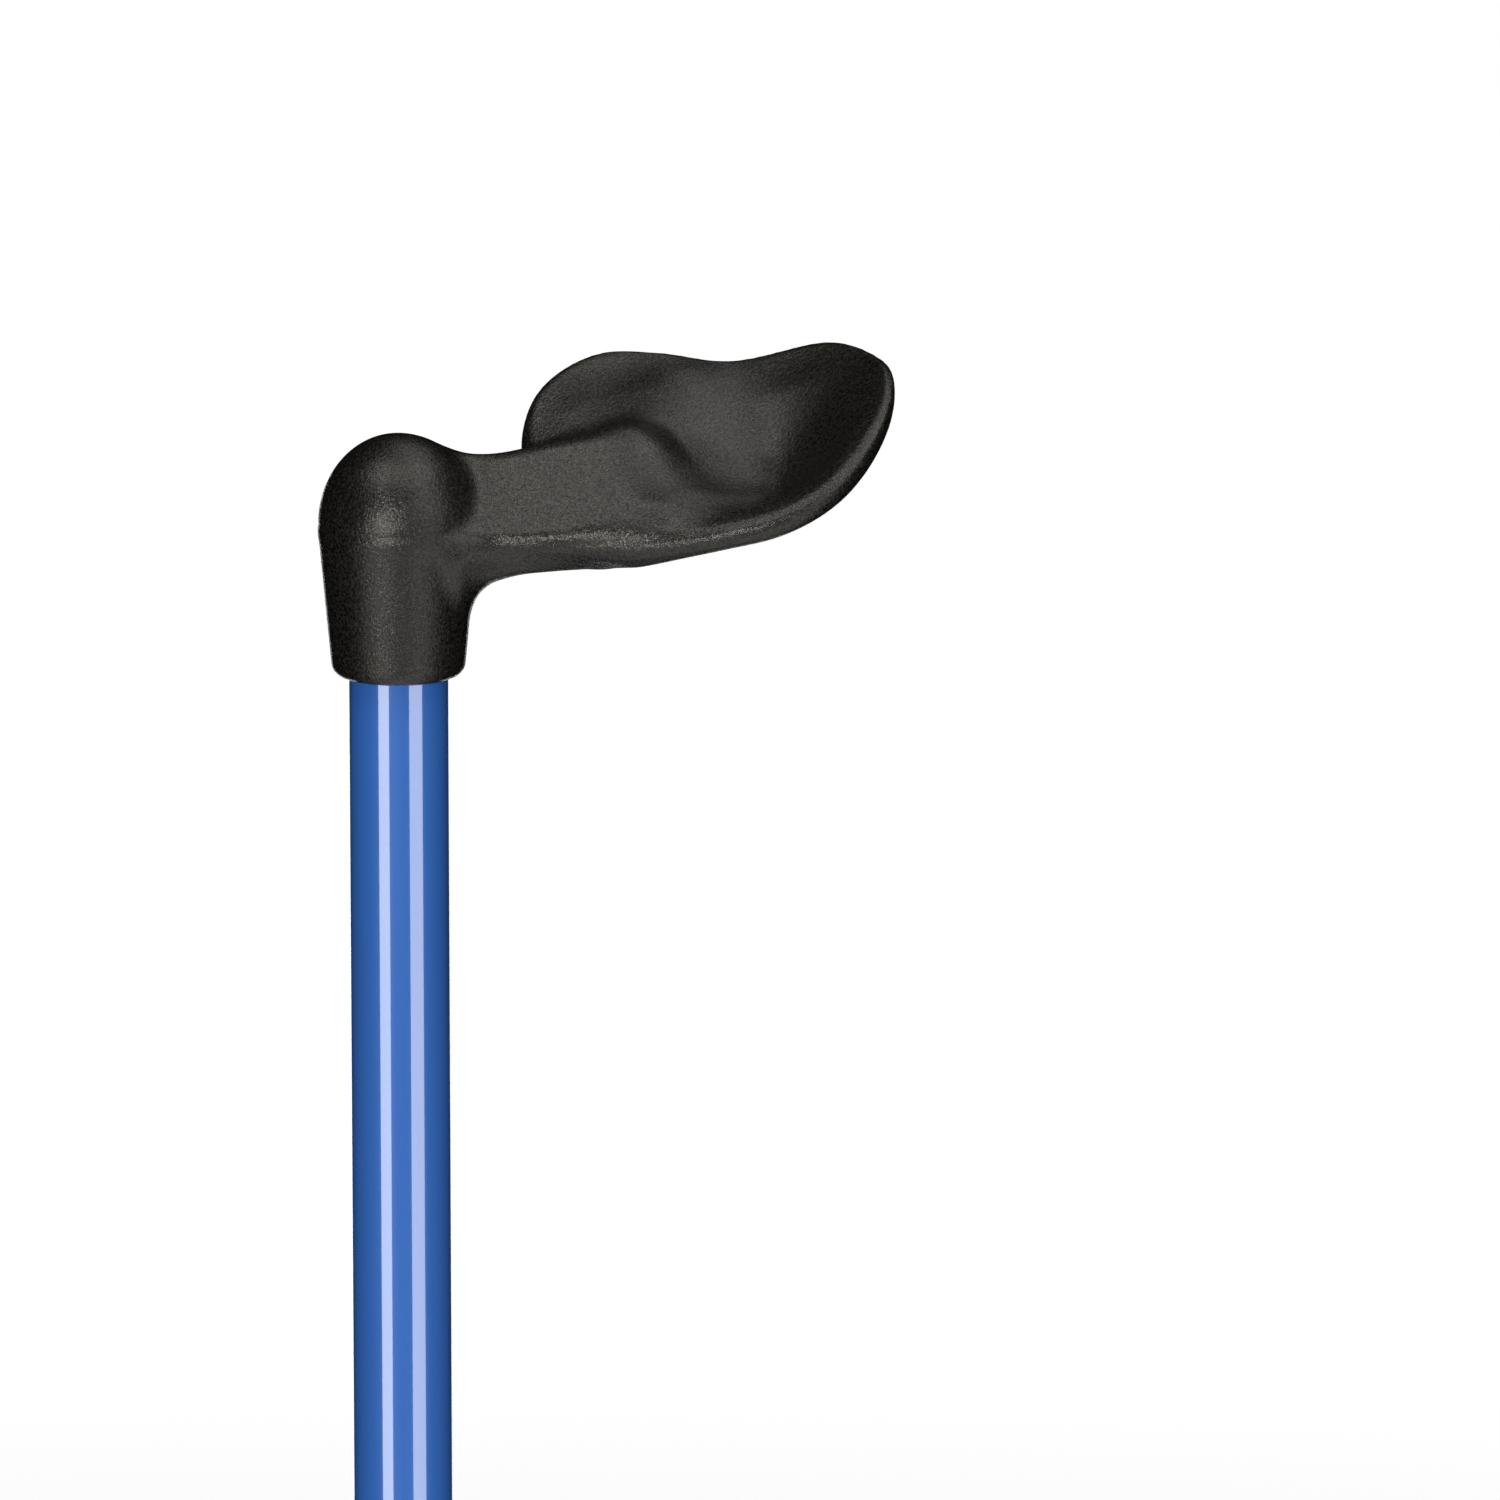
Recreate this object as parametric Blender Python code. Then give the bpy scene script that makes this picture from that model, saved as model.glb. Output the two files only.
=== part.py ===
"""A height-adjustable walking stick with a moulded palm-grip handle, made to fit one hand.

The middle of the ferrule's foot is the origin and the tubes run up +Z. The handle points along +X, with the
broad wing that carries the outer edge of the palm on +Y. The upper tube slides over the lower one. A sprung
button in the lower tube locks into one of a row of holes, and a screwed collar stops the tubes rattling.
"""

import math

import bmesh
import bpy
import numpy as np
import openvdb
from mathutils import Vector

# Lengths are in millimetres up to the meshes, which are in metres.
MM = 0.001
GAP = 0.3  # between neighbouring pieces

# Driving dimensions
TUBE_RADIUS = 11.0
TUBE_WALL = 1.2
COLLAR_FOOT_Z = 786.0  # height of the handle's lower edge
FERRULE_HEIGHT = 42.0
HOLE_COUNT = 7
HOLE_PITCH = 25.0
HOLE_RADIUS = 4.0
ENGAGEMENT = 158.0  # length of lower tube inside the upper one, with the button in the middle hole

# Tubes
UPPER_BORE = TUBE_RADIUS - TUBE_WALL
LOWER_RADIUS = UPPER_BORE - GAP
LOWER_BORE = LOWER_RADIUS - TUBE_WALL
SOCKET_DEPTH = 38.0  # of the handle, for the upper tube
UPPER_FOOT_Z = 326.0
LOWER_FOOT_Z = 12.0
LOWER_TOP_Z = UPPER_FOOT_Z + ENGAGEMENT
BUTTON_Z = LOWER_TOP_Z - 45.0
TUBE_SEGMENTS = 48

# Handle: collar and dome over the tube, measured from the collar's foot
COLLAR_RADIUS = 14.5
DOME_RADIUS = 17.6
DOME_Z = 33.6
DOME_HEIGHT = 20.3
DOME_STRETCH = 1.08  # towards the neck
COLLAR_EDGE = 2.6
PIN_RADIUS = 2.0
PIN_Z = COLLAR_FOOT_Z + 14.0

# Handle: the neck's five-cornered sections (y, z) along x, from the ridge round by the near side
NECK_STATIONS = [2, 10, 20, 30, 42, 52, 58, 64, 71, 80]
NECK_SECTIONS = [
    [(2, 47), (-9, 31), (-6, 24), (8, 24), (11, 36)],
    [(3, 49.4), (-11.2, 31.5), (-7, 24), (8, 24), (12, 36)],
    [(4, 49.4), (-12.6, 31.6), (-7.5, 23.6), (7, 24), (12.5, 37)],
    [(4, 51.3), (-13.6, 31.4), (-8.5, 24.4), (7, 24.8), (13, 38.5)],
    [(4.4, 54.3), (-14.6, 31.8), (-9, 25.7), (8, 26.9), (14, 40)],
    [(6.0, 55.6), (-15.2, 32.6), (-9.5, 27.7), (9, 29.9), (15, 42.5)],
    [(7.4, 52.4), (-15.0, 33.3), (-10, 29.5), (10, 32.4), (16, 44.5)],
    [(8.0, 46.0), (-14.0, 34.2), (-10, 31.2), (10.5, 34.4), (15.5, 42.5)],
    [(7.0, 40.5), (-11.5, 35.2), (-9, 33.2), (9.5, 35.6), (12.5, 39.5)],
    [(5, 39.0), (-6, 36.8), (-5, 35.8), (6, 37), (8, 38.8)],
]
NECK_ROUNDING = [3.2, 3.2, 3.4, 3.8, 5.0, 6.6, 7.4, 7.2, 5.2, 2.4]

# Handle: the palm rest's plan (x, y), and the height of its upper surface over a grid of x and y
PALM_PLAN = [
    (27, 20), (32, 27.5), (42, 31.5), (56, 32.5), (72, 32), (86, 30.5), (97.5, 26.5), (105.5, 17),
    (109, 5), (106.5, -7), (98, -17), (86, -22), (72, -21.5), (58, -18), (44, -10), (30, 8),
]
PALM_X = [25, 35, 45, 54, 60, 66, 73, 81, 90, 100, 110]
PALM_Y = [-24, -15, -7, 0, 8, 16, 25, 34]
PALM_TOP = [
    [34, 36, 39, 42, 46.5, 52, 60.9, 66.8],
    [34, 36, 39.5, 43.2, 48.0, 53.8, 62.5, 71.1],
    [34, 36.2, 39.8, 44.0, 49.6, 55.4, 63.0, 73.5],
    [36.0, 37.6, 40.5, 45.2, 51.6, 57.6, 64.1, 71.8],
    [38.0, 38.4, 40.2, 44.6, 51.3, 58.2, 64.9, 70.1],
    [39.6, 39.1, 39.8, 42.8, 50.0, 57.4, 64.5, 68.7],
    [41.4, 40.0, 39.3, 41.4, 48.1, 55.8, 63.6, 69.0],
    [43.3, 41.7, 40.4, 41.6, 47.6, 55.8, 64.4, 72.7],
    [47.3, 45.9, 45.6, 47.6, 53.0, 60.5, 68.5, 76.9],
    [53.8, 54.0, 55.8, 58.4, 62.8, 67.8, 74.0, 80.6],
    [60.5, 62.4, 65.2, 68.2, 72.2, 75.6, 79.6, 83.9],
]
RIM_THICKNESS = 6.2
EXTRA_IN_MIDDLE = 1.0
EXTRA_REACHED = 14.0  # distance inside the rim where the palm rest is thickest
RIM_ROLL = 2.2  # drop of the upper surface at the very rim
RIM_ROLL_Y = -12, 22
RIM_ROLL_WIDTH = 5.5, 13.0  # at those two y
PALM_BLEND = 8.0
NECK_BLEND = 3.5
THROAT_BLEND = 9.0  # added under the neck, behind the collar
FORM_BOX = (-22, -30, -4), (114, 40, 80)
FORM_STEP = 2.2
FORM_KEPT = 0.5  # share of the form's triangles that the mesh keeps

# Anti-rattle lock, at the upper tube's foot
BUSH_FOOT_Z = UPPER_FOOT_Z - 6.0
BUSH_FLANGE_Z = 351.0
THREAD_ROOT = 13.0
THREAD_CREST = 13.6
THREAD_PITCH = 3.0
THREAD_TURNS = 5
COLLAR_GRIP_RADIUS = 16.2
COLLAR_FLUTES = 24
COLLAR_FLUTE_DEPTH = 0.7

# Button and its spring, inside the lower tube
BUTTON_RADIUS = 3.6
BUTTON_TIP = 14.0
SPRING_WIDTH = 7.0
SPRING_THICKNESS = 0.6
SPRING_LEG_X = 5.6

BLACK_PLASTIC = (0.028, 0.027, 0.024)
BLUE_METAL = (0.035, 0.130, 0.430)
STEEL = (0.55, 0.56, 0.57)
NYLON = (0.62, 0.60, 0.55)
RUBBER = (0.020, 0.020, 0.021)


def clear_scene():
    for old in list(bpy.data.objects):
        bpy.data.objects.remove(old, do_unlink=True)


def finish_piece(name, mesh, colour, roughness, metallic, sharp_degrees=35):
    """Makes the object of a piece, with its own material."""
    mesh.shade_smooth()
    mesh.set_sharp_from_angle(angle=math.radians(sharp_degrees))
    material = bpy.data.materials.new(name)
    material.use_nodes = True
    shader = material.node_tree.nodes["Principled BSDF"]
    shader.inputs["Base Color"].default_value = (*colour, 1)
    shader.inputs["Roughness"].default_value = roughness
    shader.inputs["Metallic"].default_value = metallic
    mesh.materials.append(material)
    piece = bpy.data.objects.new(name, mesh)
    bpy.context.scene.collection.objects.link(piece)
    return piece


def mesh_of(name, shape):
    """Turns the faces outwards and scales the shape to metres."""
    bmesh.ops.recalc_face_normals(shape, faces=shape.faces)
    bmesh.ops.scale(shape, vec=(MM, MM, MM), verts=shape.verts)
    mesh = bpy.data.meshes.new(name)
    shape.to_mesh(mesh)
    shape.free()
    return mesh


def fluted(radius, angle, flutes, depth, least):
    """The radius at an angle, with scallops cut in whatever is at least so far out."""
    if not flutes or radius < least:
        return radius
    return radius - depth * (0.5 - 0.5 * math.cos(flutes * angle))


def turned(name, profile, segments=TUBE_SEGMENTS, sweep=2 * math.pi, flutes=0, depth=0.0, least=0.0):
    """Turns a closed (radius, height) outline about Z. A sweep under a full turn gets flat ends."""
    shape = bmesh.new()
    whole = sweep > 2 * math.pi - 1e-6
    poles = {row: shape.verts.new((0, 0, z)) for row, (r, z) in enumerate(profile) if r == 0}
    columns = []
    for step in range(segments if whole else segments + 1):
        angle = sweep * step / segments
        column = []
        for row, (radius, z) in enumerate(profile):
            reach = fluted(radius, angle, flutes, depth, least)
            place = (reach * math.cos(angle), reach * math.sin(angle), z)
            column.append(poles[row] if row in poles else shape.verts.new(place))
        columns.append(column)
    for step in range(segments):
        here, after = columns[step], columns[(step + 1) % len(columns)]
        for row in range(len(profile)):
            following = (row + 1) % len(profile)
            corners = [here[row], after[row], after[following], here[following]]
            corners = list(dict.fromkeys(corners))
            if len(corners) > 2:
                shape.faces.new(corners)
    if not whole:
        shape.faces.new(columns[0])
        shape.faces.new(columns[-1])
    return mesh_of(name, shape)


def rods(name, radius, ends, segments=32):
    """A cutter of one or more straight rods, each given by its two ends."""
    shape = bmesh.new()
    for start, end in ends:
        start, end = Vector(start), Vector(end)
        along = end - start
        made = bmesh.ops.create_cone(
            shape, cap_ends=True, segments=segments, radius1=radius, radius2=radius, depth=along.length
        )["verts"]
        turn = Vector((0, 0, 1)).rotation_difference(along).to_matrix()
        bmesh.ops.rotate(shape, cent=(0, 0, 0), matrix=turn, verts=made)
        bmesh.ops.translate(shape, vec=(start + end) / 2, verts=made)
    cutter = bpy.data.objects.new(name, mesh_of(name, shape))
    bpy.context.scene.collection.objects.link(cutter)
    cutter.hide_render = True
    cutter.display_type = "WIRE"
    return cutter


def cut(piece, cutter):
    boolean = piece.modifiers.new(cutter.name, "BOOLEAN")
    boolean.operation = "DIFFERENCE"
    boolean.solver = "EXACT"
    boolean.object = cutter


# The handle's form. Each function gives the signed distance in mm to one volume, negative inside, at a grid
# of points whose x, y and z are the array's three directions.


def smooth_curve(stations, values, where):
    """A natural cubic spline through values at the stations."""
    stations, values = np.asarray(stations, float), np.asarray(values, float)
    spans = np.diff(stations)
    count = len(stations)
    bending = np.eye(count)
    pull = np.zeros(values.shape)
    rises = np.diff(values, axis=0) / spans.reshape((-1,) + (1,) * (values.ndim - 1))
    for here in range(1, count - 1):
        before, after = spans[here - 1], spans[here]
        bending[here, here - 1 : here + 2] = before, 2 * (before + after), after
        pull[here] = 6 * (rises[here] - rises[here - 1])
    bends = np.linalg.solve(bending, pull)
    where = np.clip(where, stations[0], stations[-1])
    left = np.clip(np.searchsorted(stations, where) - 1, 0, count - 2)
    span = spans[left]
    after = (where - stations[left]) / span
    if values.ndim > 1:
        span, after = span[:, None], after[:, None]
    before = 1 - after
    curve = before * values[left] + after * values[left + 1]
    curve += ((before**3 - before) * bends[left] + (after**3 - after) * bends[left + 1]) * span**2 / 6
    return curve


def smooth_outline(points, steps=8):
    """A closed smooth curve through the points."""
    points = np.asarray(points, float)
    count = len(points)
    wrapped = np.concatenate([points[-4:], points, points[:5]])
    return smooth_curve(np.arange(-4, count + 5), wrapped, np.arange(count * steps) / steps)


def outline_distance(first, second, corners):
    """Signed distance from points (first, second) to a closed polygon."""
    inside = np.zeros(first.shape, bool)
    nearest = np.full(first.shape, np.inf)
    for (a1, a2), (b1, b2) in zip(corners, np.roll(corners, -1, axis=0)):
        along1, along2 = b1 - a1, b2 - a2
        from1, from2 = first - a1, second - a2
        part = np.clip((from1 * along1 + from2 * along2) / (along1**2 + along2**2), 0, 1)
        nearest = np.minimum(nearest, (from1 - along1 * part) ** 2 + (from2 - along2 * part) ** 2)
        if a2 != b2:
            crossing = a1 + (second - a2) * along1 / along2
            inside ^= ((a2 > second) != (b2 > second)) & (first < crossing)
    return np.where(inside, -1, 1) * np.sqrt(nearest)


def rounded_both(a, b, radius):
    """What is inside both volumes, with the edge between them rounded."""
    a, b = a + radius, b + radius
    return np.minimum(np.maximum(a, b), 0) + np.hypot(np.maximum(a, 0), np.maximum(b, 0)) - radius


def blended(a, b, reach):
    """The two volumes joined, with a fillet where they meet."""
    share = np.clip(0.5 + 0.5 * (b - a) / reach, 0, 1)
    return b + (a - b) * share - reach * share * (1 - share)


def collar_and_dome(x, y, z):
    radius = np.hypot(x, y)
    slope = (DOME_RADIUS - COLLAR_RADIUS) / DOME_Z
    side = (radius - (COLLAR_RADIUS + slope * z)) / math.hypot(1, slope)
    collar = np.maximum(rounded_both(side, -z, COLLAR_EDGE), z - DOME_Z)
    out = np.hypot(np.where(x > 0, x / DOME_STRETCH, x), y) / DOME_RADIUS
    up = (z - DOME_Z) / DOME_HEIGHT
    scaled = np.hypot(out, up)
    steepness = np.hypot(out / DOME_RADIUS, up / DOME_HEIGHT) + 1e-9
    dome = scaled * (scaled - 1) / steepness
    return np.minimum(collar, dome)


def neck(x, y, z):
    """The arm from the dome to the palm rest: a ridge on top and a flat near side."""
    along = x[:, 0, 0]
    flat = np.array(NECK_SECTIONS, float).reshape(len(NECK_STATIONS), -1)
    sections = smooth_curve(NECK_STATIONS, flat, along).reshape(len(along), -1, 2)
    roundings = smooth_curve(NECK_STATIONS, NECK_ROUNDING, along)
    distance = np.empty(x.shape)
    for row, (section, rounding) in enumerate(zip(sections, roundings)):
        middle = section.mean(axis=0)
        arms = section - middle
        reach = np.linalg.norm(arms, axis=1, keepdims=True)
        core = middle + arms * np.maximum(reach - 1.2 * rounding, 0.3) / reach
        distance[row] = outline_distance(y[row], z[row], core) - rounding
    beyond = np.maximum(NECK_STATIONS[0] - x, x - NECK_STATIONS[-1])
    return rounded_both(distance, beyond, 0)


def eased(value):
    """0 below 0, 1 above 1 and an S curve between."""
    value = np.clip(value, 0, 1)
    return value * value * (3 - 2 * value)


def palm_top(along, across):
    rows = smooth_curve(PALM_X, PALM_TOP, along)
    return smooth_curve(PALM_Y, rows.T, across).T


def palm_rest(x, y, z):
    """A dished shell of even thickness, rolled over towards its rounded rim."""
    along, across = x[:, 0, 0], y[0, :, 0]
    plan = outline_distance(x[:, :, 0], y[:, :, 0], smooth_outline(PALM_PLAN))
    width = np.interp(across, RIM_ROLL_Y, RIM_ROLL_WIDTH)
    top = palm_top(along, across) - RIM_ROLL * (1 - eased((-plan - 1) / width))
    lean = 1 / np.sqrt(1 + np.gradient(top, along, axis=0) ** 2 + np.gradient(top, across, axis=1) ** 2)
    thickness = RIM_THICKNESS + EXTRA_IN_MIDDLE * eased(-plan / EXTRA_REACHED)
    middle = top - thickness / 2 / lean
    level = np.abs(z - middle[:, :, None]) * lean[:, :, None] - (thickness / 2)[:, :, None]
    return rounded_both(plan[:, :, None] + 0 * z, level, RIM_THICKNESS / 2 - 0.1)


def handle_form(x, y, z):
    throat = np.clip((36 - z) / 8, 0, 1) * np.clip((x - 6) / 8, 0, 1)
    arm = blended(collar_and_dome(x, y, z), neck(x, y, z), NECK_BLEND + THROAT_BLEND * throat)
    return blended(arm, palm_rest(x, y, z), PALM_BLEND)


def form_mesh(name, step):
    """The surface of the handle's form, as a closed mesh of even cells."""
    low, high = np.array(FORM_BOX, float)
    x, y, z = np.meshgrid(*(np.arange(a, b, step) for a, b in zip(low, high)), indexing="ij")
    distance = np.clip(handle_form(x, y, z), -3 * step, 3 * step)
    grid = openvdb.FloatGrid(3 * step)
    grid.copyFromArray(distance.astype(np.float32))
    points, faces = grid.convertToQuads(isovalue=0)
    mesh = bpy.data.meshes.new(name)
    mesh.from_pydata((low + points * step).tolist(), [], faces.tolist())
    shape = bmesh.new()
    shape.from_mesh(mesh)
    bpy.data.meshes.remove(mesh)
    return mesh_of(name, shape)


def make_handle():
    handle = finish_piece("handle", form_mesh("handle", FORM_STEP), BLACK_PLASTIC, 0.45, 0.0, 60)
    handle.location.z = COLLAR_FOOT_Z * MM
    smooth = handle.modifiers.new("even", "SMOOTH")
    smooth.factor = 0.5
    smooth.iterations = 2
    fewer = handle.modifiers.new("fewer", "DECIMATE")
    fewer.ratio = FORM_KEPT
    top = COLLAR_FOOT_Z + SOCKET_DEPTH + GAP
    socket = [((0, 0, COLLAR_FOOT_Z - 5), (0, 0, top))]
    cut(handle, rods("handle_socket", TUBE_RADIUS + GAP, socket, TUBE_SEGMENTS))
    cut(handle, rods("handle_pin_hole", PIN_RADIUS + GAP, [((0, 5, PIN_Z), (0, 25, PIN_Z))]))
    return handle


def make_handle_pin():
    """A rolled steel pin, open along its length, through the back of the collar into the tube."""
    inner = PIN_RADIUS - 0.8
    inner_end, outer_end = 8.4, 15.2
    profile = [(inner, inner_end), (PIN_RADIUS, inner_end), (PIN_RADIUS, outer_end), (inner, outer_end)]
    mesh = turned("handle_pin", profile, segments=22, sweep=math.radians(325))
    pin = finish_piece("handle_pin", mesh, STEEL, 0.3, 1.0)
    pin.rotation_euler.x = math.radians(-90)
    pin.location.z = PIN_Z * MM
    return pin


def make_upper_tube():
    top = COLLAR_FOOT_Z + SOCKET_DEPTH
    ends = [(UPPER_BORE, UPPER_FOOT_Z), (TUBE_RADIUS, UPPER_FOOT_Z), (TUBE_RADIUS, top), (UPPER_BORE, top)]
    tube = finish_piece("upper_tube", turned("upper_tube", ends), BLUE_METAL, 0.18, 1.0)
    offsets = [(step - HOLE_COUNT // 2) * HOLE_PITCH for step in range(HOLE_COUNT)]
    holes = [((5, 0, BUTTON_Z + offset), (16, 0, BUTTON_Z + offset)) for offset in offsets]
    cut(tube, rods("height_holes", HOLE_RADIUS, holes, 24))
    cut(tube, rods("tube_pin_hole", PIN_RADIUS + GAP, [((0, 5, PIN_Z), (0, 16, PIN_Z))], 24))
    return tube


def make_lower_tube():
    ends = [
        (LOWER_BORE, LOWER_FOOT_Z),
        (LOWER_RADIUS, LOWER_FOOT_Z),
        (LOWER_RADIUS, LOWER_TOP_Z),
        (LOWER_BORE, LOWER_TOP_Z),
    ]
    tube = finish_piece("lower_tube", turned("lower_tube", ends), BLUE_METAL, 0.2, 1.0)
    cut(tube, rods("button_hole", HOLE_RADIUS, [((4, 0, BUTTON_Z), (14, 0, BUTTON_Z))], 24))
    return tube


def make_lock_bush():
    """A threaded sleeve on the upper tube's foot, with a shoulder that the tube stands on."""
    shoulder_z = UPPER_FOOT_Z - GAP
    inside = TUBE_RADIUS + GAP
    profile = [(LOWER_RADIUS + GAP, BUSH_FOOT_Z), (THREAD_ROOT, BUSH_FOOT_Z)]
    start = BUSH_FLANGE_Z - 2 - THREAD_TURNS * THREAD_PITCH
    for turn in range(THREAD_TURNS):
        foot = start + turn * THREAD_PITCH
        profile += [(THREAD_ROOT, foot), (THREAD_CREST, foot + THREAD_PITCH / 2)]
    flange_top = BUSH_FLANGE_Z + 3.5
    profile += [
        (THREAD_ROOT, BUSH_FLANGE_Z),
        (14.8, BUSH_FLANGE_Z),
        (14.8, flange_top - 1),
        (13.8, flange_top),
        (inside, flange_top),
        (inside, shoulder_z),
        (LOWER_RADIUS + GAP, shoulder_z),
    ]
    return finish_piece("lock_bush", turned("lock_bush", profile, segments=36), BLACK_PLASTIC, 0.4, 0.0)


def make_squeeze_ring():
    """A tapered ring with one slit, squeezed onto the lower tube as the collar is screwed up."""
    top, foot = BUSH_FOOT_Z - GAP, BUSH_FOOT_Z - 14.0
    inner = LOWER_RADIUS + 0.25
    profile = [(inner, foot), (11.6, foot), (12.8, top), (inner, top)]
    slit = math.radians(10)
    mesh = turned("squeeze_ring", profile, segments=46, sweep=2 * math.pi - slit)
    ring = finish_piece("squeeze_ring", mesh, NYLON, 0.5, 0.0)
    ring.rotation_euler.z = math.pi + slit / 2
    return ring


def make_lock_collar():
    """The screwed collar, with scallops for the fingers and a seat for the squeeze ring."""
    foot, top = BUSH_FOOT_Z - 18.0, BUSH_FLANGE_Z - 0.6
    grip = COLLAR_GRIP_RADIUS
    profile = [
        (10.1, foot),
        (13.2, foot),
        (14.6, foot + 1.2),
        (15.2, foot + 6),
        (grip, foot + 8),
        (grip, top - 3),
        (15.2, top - 1.4),
        (15.0, top),
        (13.9, top),
        (13.9, BUSH_FOOT_Z + 0.6),
        (13.2, BUSH_FOOT_Z + 0.2),
        (12.0, BUSH_FOOT_Z - 14.4),
        (10.1, BUSH_FOOT_Z - 14.6),
    ]
    mesh = turned(
        "lock_collar", profile, segments=72, flutes=COLLAR_FLUTES, depth=COLLAR_FLUTE_DEPTH, least=grip - 0.1
    )
    return finish_piece("lock_collar", mesh, BLACK_PLASTIC, 0.4, 0.0)


def make_guide_bush():
    """The plastic bush in the lower tube's top, which guides it in the upper tube."""
    top, spigot = LOWER_TOP_Z + GAP, LOWER_BORE - GAP
    profile = [
        (6.4, top - 14),
        (spigot, top - 14),
        (spigot, top),
        (UPPER_BORE - 0.2, top),
        (UPPER_BORE - 0.2, top + 5),
        (UPPER_BORE - 1.0, top + 6),
        (6.4, top + 6),
    ]
    return finish_piece("guide_bush", turned("guide_bush", profile, segments=36), BLACK_PLASTIC, 0.5, 0.0)


def make_snap_spring():
    """A strip bent to a V, whose one leg carries the button and whose other leg rests on the tube."""
    half = SPRING_THICKNESS / 2
    bend_z, bend_radius = -42.0, 1.0
    middle = [(SPRING_LEG_X, 5.5), (SPRING_LEG_X, -6.0)]
    for step in range(7):
        angle = math.radians(180 * step / 6)
        middle.append((bend_radius * math.cos(angle), bend_z - bend_radius * math.sin(angle)))
    middle.append((-6.5, -4.0))
    middle = np.array(middle)
    along = np.gradient(middle, axis=0)
    along /= np.linalg.norm(along, axis=1, keepdims=True)
    aside = np.column_stack([-along[:, 1], along[:, 0]]) * half
    outline = np.concatenate([middle + aside, (middle - aside)[::-1]])
    shape = bmesh.new()
    corners = [shape.verts.new((x, -SPRING_WIDTH / 2, z)) for x, z in outline]
    side = shape.faces.new(corners)
    grown = bmesh.ops.extrude_face_region(shape, geom=[side])["geom"]
    moved = [item for item in grown if isinstance(item, bmesh.types.BMVert)]
    bmesh.ops.translate(shape, vec=(0, SPRING_WIDTH, 0), verts=moved)
    spring = finish_piece("snap_spring", mesh_of("snap_spring", shape), STEEL, 0.25, 1.0)
    spring.location.z = BUTTON_Z * MM
    cut(spring, rods("rivet_hole", 1.6, [((3, 0, BUTTON_Z), (9, 0, BUTTON_Z))], 20))
    return spring


def make_snap_button():
    """The button: a rivet tail through the spring, a flange inside the tube, and a domed stud."""
    shoulder = BUTTON_TIP - 1.4
    profile = [
        (0, SPRING_LEG_X - 1.2),
        (2.1, SPRING_LEG_X - 1.2),
        (2.1, SPRING_LEG_X - 0.6),
        (1.3, SPRING_LEG_X - 0.6),
        (1.3, SPRING_LEG_X + 0.6),
        (4.3, SPRING_LEG_X + 0.6),
        (4.3, SPRING_LEG_X + 1.1),
        (BUTTON_RADIUS, SPRING_LEG_X + 1.3),
    ]
    for step in range(6):
        angle = math.radians(90 * step / 5)
        rise = (BUTTON_TIP - shoulder) * math.sin(angle)
        profile.append((round(BUTTON_RADIUS * math.cos(angle), 6), shoulder + rise))
    button = finish_piece("snap_button", turned("snap_button", profile, segments=24), STEEL, 0.2, 1.0)
    button.rotation_euler.y = math.radians(90)
    button.location.z = BUTTON_Z * MM
    return button


def make_ferrule():
    """The rubber foot: ringed tread, flared base and a ribbed sleeve round the lower tube."""
    profile = [(0, 0), (6.5, 0)]
    for groove in (7.2, 12.0):
        profile += [(groove, 1.6), (groove + 1.4, 1.6), (groove + 2.1, 0), (groove + 4.1, 0)]
    profile += [(18.4, 0.8), (19, 2.6), (18.9, 6), (17.4, 9), (15.2, 12), (14.1, 16), (13.6, 22)]
    for rib in (26, 32):
        profile += [(13.4, rib), (14.1, rib + 0.8), (14.1, rib + 2.6), (13.4, rib + 3.4)]
    bore, floor = LOWER_RADIUS + GAP, LOWER_FOOT_Z - 2.3
    profile += [(13.2, 39), (12.5, FERRULE_HEIGHT), (bore, FERRULE_HEIGHT), (bore, floor), (0, floor)]
    return finish_piece("ferrule", turned("ferrule", profile, segments=40), RUBBER, 0.8, 0.0)


def make_ferrule_disc():
    """The steel disc that keeps the tube from cutting through the rubber."""
    foot, top = LOWER_FOOT_Z - 2.0, LOWER_FOOT_Z - GAP
    profile = [(0, foot), (9.0, foot), (9.4, foot + 0.4), (9.4, top), (0, top)]
    return finish_piece("ferrule_disc", turned("ferrule_disc", profile, segments=36), STEEL, 0.35, 1.0)


def join_to(name, height, pieces):
    """Parents the pieces of one moving section to an empty on the stick's axis."""
    section = bpy.data.objects.new(name, None)
    section.location.z = height * MM
    bpy.context.scene.collection.objects.link(section)
    bpy.context.view_layer.update()
    for piece in pieces:
        piece.parent = section
        piece.matrix_parent_inverse = section.matrix_world.inverted()


def main():
    clear_scene()
    upper = [make_handle(), make_handle_pin(), make_upper_tube(), make_lock_bush(), make_squeeze_ring()]
    lower = [make_lower_tube(), make_guide_bush(), make_snap_spring(), make_ferrule(), make_ferrule_disc()]
    join_to("upper_section", UPPER_FOOT_Z, upper)
    join_to("lower_section", LOWER_FOOT_Z, lower)
    make_lock_collar()
    make_snap_button()


main()
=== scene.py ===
"""The looks of a palm-grip walking stick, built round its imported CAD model.

The ferrule's foot is at the origin, the tubes run up +Z, and the handle points along +X with its wing
on +Y. The handle's form is worked out in millimetres, as it was designed, and everything else is in metres.
"""

import math

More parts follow.
